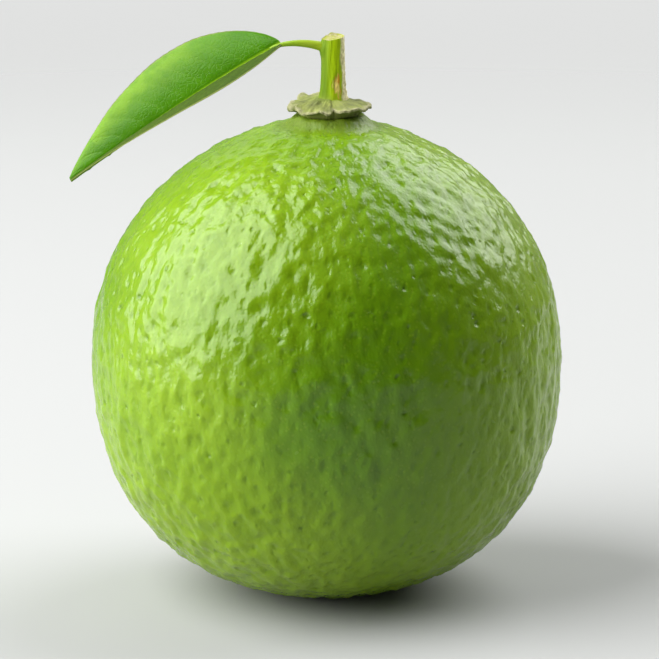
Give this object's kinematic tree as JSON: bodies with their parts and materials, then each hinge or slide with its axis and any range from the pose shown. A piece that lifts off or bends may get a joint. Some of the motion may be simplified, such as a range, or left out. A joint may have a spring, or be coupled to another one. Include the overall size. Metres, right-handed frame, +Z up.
{
  "type": "lime",
  "caption": "Whole green lime standing on its flat lower end, with its calyx, a cut stub of stem and a leaf on its stalk.",
  "frame": {"origin": "centre of the flat spot that the fruit rests on, on the fruit's axis", "axes": "+Z up the fruit's axis to the stem, -X towards the leaf, -Y towards the side that the leaf's upper face is turned to"},
  "size_m": [0.0563, 0.054, 0.064],
  "materials": {
    "peel": "glossy waxy peel with pits and shallow wrinkles",
    "calyx": "dry matt olive tissue",
    "stem": "satin green bark with a pale fibrous cut",
    "stalk": "satin green",
    "leaf": "waxy green, glossy above and paler below"
  },
  "bodies": {
    "root": {"fruit": "peel", "calyx": "calyx", "stem": "stem", "petiole": "stalk", "leaf_blade": "leaf"}
  },
  "joints": []
}
